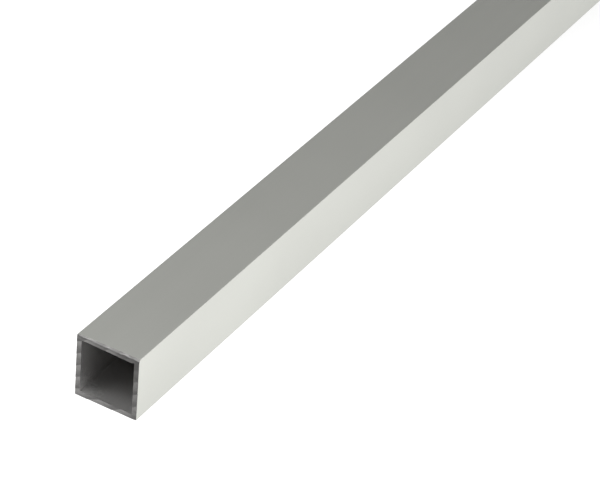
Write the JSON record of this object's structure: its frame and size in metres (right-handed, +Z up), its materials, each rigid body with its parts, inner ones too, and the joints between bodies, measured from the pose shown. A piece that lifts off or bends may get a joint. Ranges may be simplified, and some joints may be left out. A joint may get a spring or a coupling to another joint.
{
  "type": "square metal tube",
  "caption": "Straight length of square hollow metal section with an even thin wall, crisp long edges, an open square bore and plain ends sawn square.",
  "frame": {"origin": "middle of the underside, half way along the length, on the surface that the tube lies on", "axes": "+Y along the tube's length, with the pictured sawn end at -Y; +Z up, out of the top face; +X out of the side face that the picture shows"},
  "size_m": [0.02, 1, 0.02],
  "materials": {
    "anodised_aluminium": "extruded aluminium, silver matt anodised outside and in the bore, bare saw-cut metal on the two end rings"
  },
  "bodies": {
    "root": {"square_tube": "anodised_aluminium"}
  },
  "joints": []
}
